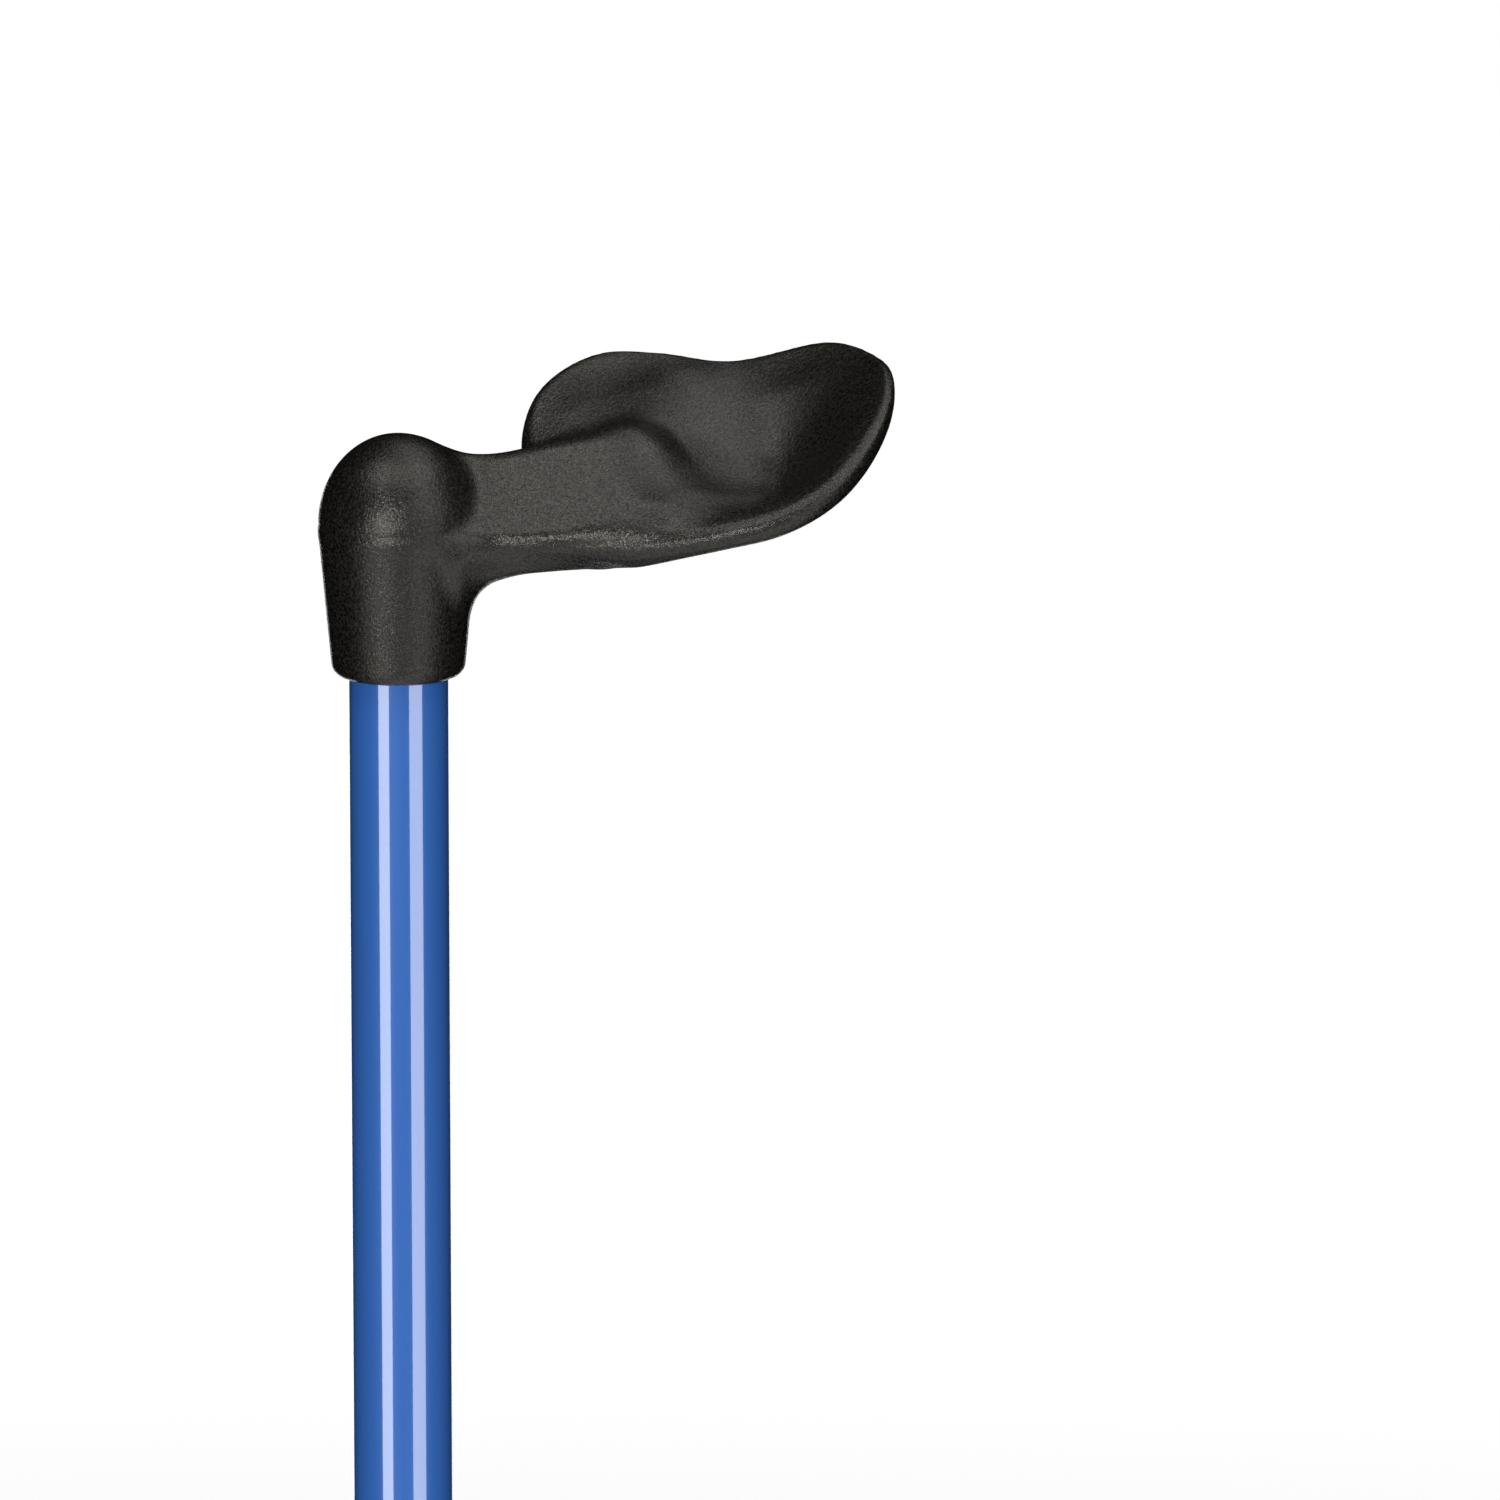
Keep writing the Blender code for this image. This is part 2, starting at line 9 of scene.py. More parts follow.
import bmesh
import bpy
import numpy as np
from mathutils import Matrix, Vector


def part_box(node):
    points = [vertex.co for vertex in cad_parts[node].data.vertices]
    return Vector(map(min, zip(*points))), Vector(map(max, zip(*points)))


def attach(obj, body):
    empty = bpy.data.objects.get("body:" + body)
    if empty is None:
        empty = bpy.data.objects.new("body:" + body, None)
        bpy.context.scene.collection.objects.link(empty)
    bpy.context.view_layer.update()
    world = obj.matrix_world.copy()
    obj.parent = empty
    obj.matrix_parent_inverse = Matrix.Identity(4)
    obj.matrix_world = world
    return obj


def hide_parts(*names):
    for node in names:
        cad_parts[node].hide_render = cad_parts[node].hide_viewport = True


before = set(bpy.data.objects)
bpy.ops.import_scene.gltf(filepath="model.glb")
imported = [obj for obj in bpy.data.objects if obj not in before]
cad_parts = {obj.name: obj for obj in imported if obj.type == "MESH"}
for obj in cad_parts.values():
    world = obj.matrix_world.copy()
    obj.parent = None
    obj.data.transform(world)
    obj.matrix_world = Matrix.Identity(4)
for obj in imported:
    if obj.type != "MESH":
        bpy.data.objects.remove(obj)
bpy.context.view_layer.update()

import openvdb
from mathutils import Matrix, Vector

MM = 0.001
GAP = 0.3 * MM  # between neighbouring pieces

# From the frame
UPPER_LOW, UPPER_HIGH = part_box("upper_tube")
LOWER_LOW, LOWER_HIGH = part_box("lower_tube")
BUTTON_LOW, BUTTON_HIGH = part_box("snap_button")
COLLAR_LOW, COLLAR_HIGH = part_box("lock_collar")
BUSH_LOW, BUSH_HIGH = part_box("lock_bush")
FERRULE_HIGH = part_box("ferrule")[1]
HANDLE_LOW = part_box("handle")[0]
PIN_LOW, PIN_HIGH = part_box("handle_pin")

TUBE_RADIUS = UPPER_HIGH.x
LOWER_RADIUS = LOWER_HIGH.x
TUBE_WALL = TUBE_RADIUS - LOWER_RADIUS - GAP
UPPER_BORE = TUBE_RADIUS - TUBE_WALL
LOWER_BORE = LOWER_RADIUS - TUBE_WALL
HANDLE_FOOT = HANDLE_LOW.z
SOCKET_DEPTH = UPPER_HIGH.z - HANDLE_FOOT
BUTTON_Z = (BUTTON_LOW.z + BUTTON_HIGH.z) / 2
PIN_Z = (PIN_LOW.z + PIN_HIGH.z) / 2
PIN_RADIUS = (PIN_HIGH.z - PIN_LOW.z) / 2
HOLE_COUNT = 7
HOLE_PITCH = 25 * MM
HOLE_RADIUS = 4 * MM
HOLE_BEVEL = 0.3 * MM
BUTTON_HOLE_BEVEL = 0.2 * MM

# Where shading turns sharp: on turned pieces, on cut and carried-over ones, and where a bevel is put
TURNED_CREASE = math.radians(40)
CUT_CREASE = math.radians(35)
BEVEL_CREASE = math.radians(50)

# The threaded bush and the screwed collar
FLANGE_THICKNESS = 3.5 * MM
THREAD_ROOT = 13.0 * MM
THREAD_CREST = 13.6 * MM
THREAD_PITCH = 3 * MM
THREAD_TURNS = 5
THREAD_RUN_OUT = 2 * MM
LOCK_MOUTH = 10.1 * MM
LOCK_BAND = 15.0 * MM
LOCK_BORE = 13.9 * MM
FLUTE_COUNT = 24
FLUTE_DEPTH = 0.7 * MM
FLUTES_FROM = 15.2 * MM

# The button: its stud, its rivet tail's head and neck, and the rise of its dome
STUD_RADIUS = 3.6 * MM
TAIL_RADIUS = 2.1 * MM
TAIL_NECK = 1.3 * MM
BUTTON_DOME = 1.4 * MM
BUTTON_DOME_STEPS = 12

# The ferrule in mm: its tread's grooves, and its side (radius, height) up to the ribs
TREAD_START = 6.5
TREAD_GROOVES = 7.2, 12.0
GROOVE_STEPS = (0, 1.6), (1.4, 1.6), (2.1, 0), (4.1, 0)
FERRULE_SIDE = (18.4, 0.8), (19, 2.6), (18.9, 6), (17.4, 9), (15.2, 12), (14.1, 16), (13.6, 22)
RIB_HEIGHTS = 26, 32
RIB_STEPS = (13.4, 0), (14.1, 0.8), (14.1, 2.6), (13.4, 3.4)

# View: the picture is this wide and high at the stick, seen from the near side and a little above
PICTURE_WIDTH = 0.330
PICTURE_MIDDLE = 0.0773, -0.0167  # right of the stick's axis, and above the foot of the handle
CAMERA_RISE = math.radians(12.5)
CAMERA_DISTANCE = 3.0

# Lamps round the handle: azimuth, elevation, width and height, all in degrees, and brightness
HANDLE_MIDDLE = Vector((0.045, 0, HANDLE_FOOT + 0.04))
LAMP_DISTANCE = 1.6
LAMPS = {
    "key": (-19, 6, 5, 7, 140.0),
    "right_box": (42, 22, 28, 36, 2.5),
    "top_right": (58, 62, 30, 22, 4.0),
    "top_left": (-44, 62, 26, 20, 5.6),
    "overhead": (150, 66, 34, 24, 1.5),
    "low_front": (4, -40, 44, 22, 1.0),
    "table": (0, -78, 60, 44, 0.9),
}
# Upright lamps below the handle's level, which make the lines along the tubes: azimuth in degrees,
# distance, width and brightness
STRIP_MIDDLE = 0.08
STRIP_HEIGHT = 1.16
STRIPS = {
    "strip_left": (-34, 1.3, 0.58, 2.0),
    "strip_right": (41, 1.3, 0.74, 1.6),
    "back_left": (-168, 1.4, 0.22, 2.4),
    "back_right": (170, 1.4, 0.20, 2.0),
}

FLOOR_RADIUS = 16
FLOOR_GLOW_FROM, FLOOR_GLOW_TO = 0.2, 2.5  # distances over which the floor's glow grows


# The handle's form, in mm from the foot of its collar. First its collar and the dome over the tube.
COLLAR_RADIUS = 14.5
DOME_RADIUS = 17.6
DOME_Z = 33.6
DOME_HEIGHT = 20.3
DOME_STRETCH = 1.08  # towards the neck
COLLAR_EDGE = 2.6

# Then the neck's five-cornered sections (y, z) along x, from the ridge round by the near side.
NECK_STATIONS = [2, 10, 20, 30, 42, 52, 58, 64, 71, 80]
NECK_SECTIONS = [
    [(2, 47), (-9, 31), (-6, 24), (8, 24), (11, 36)],
    [(3, 49.4), (-11.2, 31.5), (-7, 24), (8, 24), (12, 36)],
    [(4, 49.4), (-12.6, 31.6), (-7.5, 23.6), (7, 24), (12.5, 37)],
    [(4, 51.3), (-13.6, 31.4), (-8.5, 24.4), (7, 24.8), (13, 38.5)],
    [(4.4, 54.3), (-14.6, 31.8), (-9, 25.7), (8, 26.9), (14, 40)],
    [(6.0, 55.6), (-15.2, 32.6), (-9.5, 27.7), (9, 29.9), (15, 42.5)],
    [(7.4, 52.4), (-15.0, 33.3), (-10, 29.5), (10, 32.4), (16, 44.5)],
    [(8.0, 46.0), (-14.0, 34.2), (-10, 31.2), (10.5, 34.4), (15.5, 42.5)],
    [(7.0, 40.5), (-11.5, 35.2), (-9, 33.2), (9.5, 35.6), (12.5, 39.5)],
    [(5, 39.0), (-6, 36.8), (-5, 35.8), (6, 37), (8, 38.8)],
]
NECK_ROUNDING = [3.2, 3.2, 3.4, 3.8, 5.0, 6.6, 7.4, 7.2, 5.2, 2.4]
CORNER_INSET = 1.2  # how many roundings a corner is drawn in by before it is rounded
CORNER_LEAST = 0.3

# Last the palm rest's plan (x, y), and the height of its upper surface over a grid of x and y.
PALM_PLAN = [
    (27, 20), (32, 27.5), (42, 31.5), (56, 32.5), (72, 32), (86, 30.5), (97.5, 26.5), (105.5, 17),
    (109, 5), (106.5, -7), (98, -17), (86, -22), (72, -21.5), (58, -18), (44, -10), (30, 8),
]
PALM_X = [25, 35, 45, 54, 60, 66, 73, 81, 90, 100, 110]
PALM_Y = [-24, -15, -7, 0, 8, 16, 25, 34]
PALM_TOP = [
    [34, 36, 39, 42, 46.5, 52, 60.9, 66.8],
    [34, 36, 39.5, 43.2, 48.0, 53.8, 62.5, 71.1],
    [34, 36.2, 39.8, 44.0, 49.6, 55.4, 63.0, 73.5],
    [36.0, 37.6, 40.5, 45.2, 51.6, 57.6, 64.1, 71.8],
    [38.0, 38.4, 40.2, 44.6, 51.3, 58.2, 64.9, 70.1],
    [39.6, 39.1, 39.8, 42.8, 50.0, 57.4, 64.5, 68.7],
    [41.4, 40.0, 39.3, 41.4, 48.1, 55.8, 63.6, 69.0],
    [43.3, 41.7, 40.4, 41.6, 47.6, 55.8, 64.4, 72.7],
    [47.3, 45.9, 45.6, 47.6, 53.0, 60.5, 68.5, 76.9],
    [53.8, 54.0, 55.8, 58.4, 62.8, 67.8, 74.0, 80.6],
    [60.5, 62.4, 65.2, 68.2, 72.2, 75.6, 79.6, 83.9],
]
RIM_THICKNESS = 6.2
RIM_ROUNDING = RIM_THICKNESS / 2 - 0.1
EXTRA_IN_MIDDLE = 1.0
EXTRA_REACHED = 14.0
RIM_ROLL = 2.2
RIM_LIP = 1
RIM_ROLL_Y = -12, 22
RIM_ROLL_WIDTH = 5.5, 13.0
PALM_BLEND = 8.0
NECK_BLEND = 3.5
THROAT_BLEND = 9.0
THROAT_TOP = 36
THROAT_START = 6
THROAT_SPREAD = 8
OPENING_ROUNDING = 0.5
FORM_BOX = (-22, -30, -4), (114, 40, 80)
FORM_STEP = 0.55
FORM_BAND = 3  # cells on each side of the surface

# The mould's parting line: its height on the near side along x, then below the palm rest's surface
PARTING_X = [-18, 0, 11, 21, 33, 43, 51, 64]
PARTING_Z = [33.7, 33.8, 34.2, 32.6, 31.6, 32.0, 32.9, 34.9]
PARTING_BELOW_RIM = 3.6
WING_FROM_Y = 6
PARTING_LEAVES = 50, 26  # the x where it leaves the neck for the rim, on the near side and on the wing
PARTING_CLIMB = 14, 5  # the length it takes to get there, on each
PARTING_GROOVE = 0.20
PARTING_STEP = 0.13
PARTING_WIDTH = 0.55


def smooth_curve(stations, values, where):
    """A natural cubic spline through values at the stations."""
    stations, values = np.asarray(stations, float), np.asarray(values, float)
    spans = np.diff(stations)
    count = len(stations)
    bending = np.eye(count)
    pull = np.zeros(values.shape)
    rises = np.diff(values, axis=0) / spans.reshape((-1,) + (1,) * (values.ndim - 1))
    for here in range(1, count - 1):
        before, after = spans[here - 1], spans[here]
        bending[here, here - 1 : here + 2] = before, 2 * (before + after), after
        pull[here] = 6 * (rises[here] - rises[here - 1])
    bends = np.linalg.solve(bending, pull)
    where = np.clip(where, stations[0], stations[-1])
    left = np.clip(np.searchsorted(stations, where) - 1, 0, count - 2)
    span = spans[left]
    after = (where - stations[left]) / span
    if values.ndim > 1:
        span, after = span[:, None], after[:, None]
    before = 1 - after
    curve = before * values[left] + after * values[left + 1]
    curve += ((before**3 - before) * bends[left] + (after**3 - after) * bends[left + 1]) * span**2 / 6
    return curve


def smooth_outline(points, steps=8):
    """A closed smooth curve through the points."""
    points = np.asarray(points, float)
    count = len(points)
    wrapped = np.concatenate([points[-4:], points, points[:5]])
    return smooth_curve(np.arange(-4, count + 5), wrapped, np.arange(count * steps) / steps)


def outline_distance(first, second, corners):
    """Signed distance from points (first, second) to a closed polygon."""
    inside = np.zeros(first.shape, bool)
    nearest = np.full(first.shape, np.inf)
    for (a1, a2), (b1, b2) in zip(corners, np.roll(corners, -1, axis=0)):
        along1, along2 = b1 - a1, b2 - a2
        from1, from2 = first - a1, second - a2
        part = np.clip((from1 * along1 + from2 * along2) / (along1**2 + along2**2), 0, 1)
        nearest = np.minimum(nearest, (from1 - along1 * part) ** 2 + (from2 - along2 * part) ** 2)
        if a2 != b2:
            crossing = a1 + (second - a2) * along1 / along2
            inside ^= ((a2 > second) != (b2 > second)) & (first < crossing)
    return np.where(inside, -1, 1) * np.sqrt(nearest)


def rounded_both(a, b, radius):
    """What is inside both volumes, with the edge between them rounded."""
    a, b = a + radius, b + radius
    return np.minimum(np.maximum(a, b), 0) + np.hypot(np.maximum(a, 0), np.maximum(b, 0)) - radius


def blended(a, b, reach):
    """The two volumes joined, with a fillet where they meet."""
    share = np.clip(0.5 + 0.5 * (b - a) / reach, 0, 1)
    return b + (a - b) * share - reach * share * (1 - share)


def eased(value):
    """0 below 0, 1 above 1 and an S curve between."""
    value = np.clip(value, 0, 1)
    return value * value * (3 - 2 * value)


def collar_and_dome(x, y, z):
    """A tapered collar under a dome that is drawn out towards the neck."""
    radius = np.hypot(x, y)
    slope = (DOME_RADIUS - COLLAR_RADIUS) / DOME_Z
    side = (radius - (COLLAR_RADIUS + slope * z)) / math.hypot(1, slope)
    collar = np.maximum(rounded_both(side, -z, COLLAR_EDGE), z - DOME_Z)
    out = np.hypot(np.where(x > 0, x / DOME_STRETCH, x), y) / DOME_RADIUS
    up = (z - DOME_Z) / DOME_HEIGHT
    scaled = np.hypot(out, up)
    steepness = np.hypot(out / DOME_RADIUS, up / DOME_HEIGHT) + 1e-9
    dome = scaled * (scaled - 1) / steepness
    return np.minimum(collar, dome)


def neck(x, y, z):
    """The arm from the dome to the palm rest: a ridge on top and a flat near side."""
    along = x[:, 0, 0]
    flat = np.array(NECK_SECTIONS, float).reshape(len(NECK_STATIONS), -1)
    sections = smooth_curve(NECK_STATIONS, flat, along).reshape(len(along), -1, 2)
    roundings = smooth_curve(NECK_STATIONS, NECK_ROUNDING, along)
    distance = np.empty(x.shape)
    for row, (section, rounding) in enumerate(zip(sections, roundings)):
        middle = section.mean(axis=0)
        arms = section - middle
        reach = np.linalg.norm(arms, axis=1, keepdims=True)
        core = middle + arms * np.maximum(reach - CORNER_INSET * rounding, CORNER_LEAST) / reach
        distance[row] = outline_distance(y[row], z[row], core) - rounding
    beyond = np.maximum(NECK_STATIONS[0] - x, x - NECK_STATIONS[-1])
    return rounded_both(distance, beyond, 0)


def palm_top(along, across):
    """The height of the palm rest's upper surface over a grid, before its rim is rolled over."""
    rows = smooth_curve(PALM_X, PALM_TOP, along)
    return smooth_curve(PALM_Y, rows.T, across).T


def palm_rest(x, y, z):
    """A dished shell of even thickness, rolled over towards its rounded rim."""
    along, across = x[:, 0, 0], y[0, :, 0]
    plan = outline_distance(x[:, :, 0], y[:, :, 0], smooth_outline(PALM_PLAN))
    width = np.interp(across, RIM_ROLL_Y, RIM_ROLL_WIDTH)
    top = palm_top(along, across) - RIM_ROLL * (1 - eased((-plan - RIM_LIP) / width))
    lean = 1 / np.sqrt(1 + np.gradient(top, along, axis=0) ** 2 + np.gradient(top, across, axis=1) ** 2)
    thickness = RIM_THICKNESS + EXTRA_IN_MIDDLE * eased(-plan / EXTRA_REACHED)
    middle = top - thickness / 2 / lean
    level = np.abs(z - middle[:, :, None]) * lean[:, :, None] - (thickness / 2)[:, :, None]
    return rounded_both(plan[:, :, None] + 0 * z, level, RIM_ROUNDING)


def handle_form(x, y, z):
    """Collar, dome, neck and palm rest, with a wide fillet in the throat under the neck."""
    throat = np.clip((THROAT_TOP - z) / THROAT_SPREAD, 0, 1)
    throat = throat * np.clip((x - THROAT_START) / THROAT_SPREAD, 0, 1)
    arm = blended(collar_and_dome(x, y, z), neck(x, y, z), NECK_BLEND + THROAT_BLEND * throat)
    return blended(arm, palm_rest(x, y, z), PALM_BLEND)


def parting_relief(x, y, z):
    """How far the surface stands back along the mould's parting line: a fine groove and a small step."""
    along, across = x[:, 0, 0], y[0, :, 0]
    near = np.interp(along, PARTING_X, PARTING_Z)[:, None] + 0 * across
    rim = palm_top(along, across) - PARTING_BELOW_RIM
    on_near_side = across < WING_FROM_Y
    leaves, climb = np.where(on_near_side, *PARTING_LEAVES), np.where(on_near_side, *PARTING_CLIMB)
    share = eased((along[:, None] - leaves) / climb)
    above = z - (near + (rim - near) * share)[:, :, None]
    groove = PARTING_GROOVE * np.exp(-((above / PARTING_WIDTH) ** 2))
    return groove + PARTING_STEP / 2 * np.tanh(above / PARTING_WIDTH)


def handle_with_openings(x, y, z):
    """The form with its parting line, the socket for the tube and the hole for the pin."""
    form = handle_form(x, y, z) + parting_relief(x, y, z)
    socket = np.maximum(np.hypot(x, y) - (TUBE_RADIUS + GAP) / MM, z - (SOCKET_DEPTH + GAP) / MM)
    pin_hole = np.maximum(np.hypot(x, z - (PIN_Z - HANDLE_FOOT) / MM) - (PIN_RADIUS + GAP) / MM, -y)
    openings = np.minimum(socket, pin_hole)
    return -blended(-form, openings, OPENING_ROUNDING)


# Meshes


def mesh_of(name, shape):
    """Makes a smooth-shaded mesh of a bmesh, which it uses up."""
    bmesh.ops.recalc_face_normals(shape, faces=shape.faces)
    mesh = bpy.data.meshes.new(name)
    shape.to_mesh(mesh)
    shape.free()
    mesh.shade_smooth()
    return mesh


def form_mesh(name, form, step):
    """The surface of a form in mm, as a closed mesh of even cells in metres."""
    low, high = np.array(FORM_BOX, float)
    x, y, z = np.meshgrid(*(np.arange(a, b, step) for a, b in zip(low, high)), indexing="ij")
    band = FORM_BAND * step
    distance = np.clip(form(x, y, z), -band, band)
    grid = openvdb.FloatGrid(band)
    grid.copyFromArray(distance.astype(np.float32))
    points, faces = grid.convertToQuads(isovalue=0)
    mesh = bpy.data.meshes.new(name)
    mesh.from_pydata(((low + points * step) * MM).tolist(), [], faces.tolist())
    shape = bmesh.new()
    shape.from_mesh(mesh)
    bpy.data.meshes.remove(mesh)
    return mesh_of(name, shape)


def rounded_profile(points, radius, steps=4):
    """The closed (radius, height) outline with each corner rounded, where its sides leave room."""
    points = [Vector(point) for point in points]
    outline = []
    for before, corner, after in zip(points[-1:] + points[:-1], points, points[1:] + points[:1]):
        if corner.x < 1e-9:
            outline.append(tuple(corner))
            continue
        back, on = before - corner, after - corner
        reach = min(radius, 0.4 * back.length, 0.4 * on.length)
        start, end = corner + back.normalized() * reach, corner + on.normalized() * reach
        for step in range(steps + 1):
            part = step / steps
            outline.append(tuple(start * (1 - part) ** 2 + corner * 2 * part * (1 - part) + end * part**2))
    return outline


def fluted(radius, angle, flutes, depth, least):
    """The radius at an angle, with scallops cut in whatever is at least so far out."""
    if not flutes or radius < least:
        return radius
    return radius - depth * (0.5 - 0.5 * math.cos(flutes * angle)) ** 0.7


def turned(name, profile, segments=128, sweep=2 * math.pi, flutes=0, depth=0.0, least=0.0):
    """Turns a closed (radius, height) outline about Z. A sweep under a full turn gets flat ends."""
    shape = bmesh.new()
    whole = sweep > 2 * math.pi - 1e-6
    poles = {row: shape.verts.new((0, 0, z)) for row, (r, z) in enumerate(profile) if r < 1e-9}
    columns = []
    for step in range(segments if whole else segments + 1):
        angle = sweep * step / segments
        column = []
        for row, (radius, z) in enumerate(profile):
            reach = fluted(radius, angle, flutes, depth, least)
            place = (reach * math.cos(angle), reach * math.sin(angle), z)
            column.append(poles[row] if row in poles else shape.verts.new(place))
        columns.append(column)
    for step in range(segments):
        here, after = columns[step], columns[(step + 1) % len(columns)]
        for row in range(len(profile)):
            following = (row + 1) % len(profile)
            corners = list(dict.fromkeys([here[row], after[row], after[following], here[following]]))
            if len(corners) > 2:
                shape.faces.new(corners)
    if not whole:
        shape.faces.new(columns[0])
        shape.faces.new(columns[-1])
    mesh = mesh_of(name, shape)
    mesh.set_sharp_from_angle(angle=TURNED_CREASE)
    return mesh


def new_object(name, mesh):
    piece = bpy.data.objects.new(name, mesh)
    bpy.context.scene.collection.objects.link(piece)
    return piece


def piece(name, mesh, body, material, slot, *replaced):
    """A piece of the stick: it rides on a body, takes a finish and stands for CAD nodes."""
    made = new_object(name, mesh)
    made.data.materials.append(material)
    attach(made, body)
    if replaced:
        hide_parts(*replaced)
    return made


# Materials


class Nodes:
    """A material's node tree, with short ways to add to it."""

    def __init__(self, name, color, roughness, metallic=0.0):
        self.material = bpy.data.materials.new(name)
        self.material.use_nodes = True
        self.tree = self.material.node_tree
        self.shader = self.tree.nodes["Principled BSDF"]
        self.set("Base Color", (*color, 1))
        self.set("Roughness", roughness)
        self.set("Metallic", metallic)

    def set(self, socket, value):
        self.shader.inputs[socket].default_value = value

    def add(self, kind, settings=(), **inputs):
        node = self.tree.nodes.new(kind)
        for name, value in dict(settings).items():
            setattr(node, name, value)
        for name, value in inputs.items():
            socket = node.inputs[name.replace("_", " ")]
            if isinstance(value, bpy.types.NodeSocket):
                self.tree.links.new(value, socket)
            else:
                socket.default_value = value
        return node

    def place(self, scale):
        """The object's own coordinates in metres, stretched by scale."""
        coordinates = self.add("ShaderNodeTexCoord").outputs["Object"]
        return self.add("ShaderNodeMapping", Vector=coordinates, Scale=scale).outputs["Vector"]

    def noise(self, scale, detail=2.0, roughness=0.5, stretch=(1, 1, 1)):
        """A noise between 0 and 1 with this many features to the metre."""
        settings = {"Scale": scale, "Detail": detail, "Roughness": roughness}
        return self.add("ShaderNodeTexNoise", Vector=self.place(stretch), **settings).outputs["Fac"]

    def mapped(self, value, low, high, to_low, to_high):
        node = self.add("ShaderNodeMapRange", Value=value)
        for name, number in zip(("From Min", "From Max", "To Min", "To Max"), (low, high, to_low, to_high)):
            node.inputs[name].default_value = number
        return node.outputs["Result"]

    def mixed(self, factor, first, second):
        """A colour between two, by a factor between 0 and 1."""
        node = self.add("ShaderNodeMix", {"data_type": "RGBA"})
        self.tree.links.new(factor, node.inputs["Factor"])
        node.inputs["A"].default_value = (*first, 1)
        node.inputs["B"].default_value = (*second, 1)
        return node.outputs["Result"]

    def link(self, output, socket):
        self.tree.links.new(output, self.shader.inputs[socket])

    def shade(self, factor, first, second):
        """Colours the surface between two colours."""
        self.link(self.mixed(factor, first, second), "Base Color")

    def bump(self, *layers):
        """Bumps on top of each other, each (height, strength, distance in metres)."""
        normal = None
        for height, strength, distance in layers:
            node = self.add("ShaderNodeBump", Height=height, Strength=strength, Distance=distance)
            if normal:
                self.tree.links.new(normal, node.inputs["Normal"])
            normal = node.outputs["Normal"]
        self.link(normal, "Normal")


def handle_plastic():
    """Black plastic with a fine moulded grain, whose crests are a little shinier and painted paler, partly
    its own mottled tone and partly painted glints on the grain.
    """
    look = Nodes("handle_plastic", (0.012, 0.0115, 0.010), 0.30)
    look.set("Specular IOR Level", 0.50)
    look.set("Specular Tint", (1.0, 0.965, 0.90, 1))
    grain = look.noise(1500, detail=3.0, roughness=0.65)
    fine = look.noise(3600, detail=2.0)
    # the grain's crests are painted paler: partly the plastic's mottled tone, partly painted glints on the
    # grain
    look.shade(look.mapped(grain, 0.40, 0.70, 0, 1), (0.0015, 0.0013, 0.0011), (0.028, 0.0262, 0.0228))
    look.link(look.mapped(grain, 0.30, 0.70, 0.335, 0.18), "Roughness")
    look.bump((grain, 0.6, 0.00031), (fine, 0.3, 0.00010))
    return look.material


def blue_tube():
    """Blue lacquer over drawn aluminium: glossy, with the faintest lines along the tube."""
    look = Nodes("blue_tube", (0.045, 0.175, 0.60), 0.32, 0.05)
    look.set("Coat Weight", 1.0)
    look.set("Coat Roughness", 0.06)
    look.set("Coat IOR", 2.7)
    lines = look.noise(1400, detail=3.0, stretch=(1, 1, 0.006))
    waves = look.noise(9, detail=2.0, stretch=(1, 1, 0.4))
    look.shade(look.mapped(waves, 0.3, 0.7, 0, 1), (0.042, 0.166, 0.575), (0.048, 0.184, 0.625))
    look.link(look.mapped(lines, 0.3, 0.7, 0.28, 0.37), "Roughness")
    look.bump((lines, 0.10, 0.00004))
    return look.material


def lock_plastic():
    """Satin black plastic, a little cooler than the handle's."""
    look = Nodes("lock_plastic", (0.020, 0.020, 0.021), 0.38)
    grain = look.noise(2200, detail=3.0)
    look.link(look.mapped(look.noise(90), 0.3, 0.7, 0.33, 0.43), "Roughness")
    look.shade(look.mapped(grain, 0.35, 0.65, 0, 1), (0.017, 0.017, 0.018), (0.026, 0.026, 0.027))
    look.bump((grain, 0.35, 0.00012))
    return look.material


def nylon():
    """Pale nylon, for the small bushes."""
    look = Nodes("nylon", (0.62, 0.60, 0.55), 0.5)
    look.set("Subsurface Weight", 0.15)
    look.set("Subsurface Radius", (0.002, 0.002, 0.0015))
    cloud = look.noise(120, detail=3.0)
    look.shade(look.mapped(cloud, 0.3, 0.7, 0, 1), (0.58, 0.56, 0.51), (0.66, 0.64, 0.59))
    look.bump((look.noise(2500), 0.2, 0.00008))
    return look.material


def steel():
    """Bright steel with fine scratches."""
    look = Nodes("steel", (0.56, 0.57, 0.58), 0.22, 1.0)
    scratches = look.noise(2600, detail=3.0, stretch=(1, 0.08, 1))
    look.link(look.mapped(scratches, 0.3, 0.7, 0.16, 0.30), "Roughness")
    look.shade(look.noise(400), (0.50, 0.51, 0.52), (0.60, 0.61, 0.62))
    look.bump((scratches, 0.15, 0.00003))
    return look.material


def rubber():
    """Matt black rubber with a dusty bloom."""
    look = Nodes("rubber", (0.020, 0.020, 0.021), 0.75)
    look.set("Sheen Weight", 0.25)
    look.set("Sheen Roughness", 0.6)
    bloom = look.noise(160, detail=5.0, roughness=0.65)
    grain = look.noise(2600, detail=3.0)
    look.shade(look.mapped(bloom, 0.35, 0.7, 0, 1), (0.018, 0.018, 0.019), (0.040, 0.039, 0.038))
    look.link(look.mapped(bloom, 0.3, 0.7, 0.68, 0.85), "Roughness")
    look.bump((grain, 0.4, 0.00012))
    return look.material


# Pieces


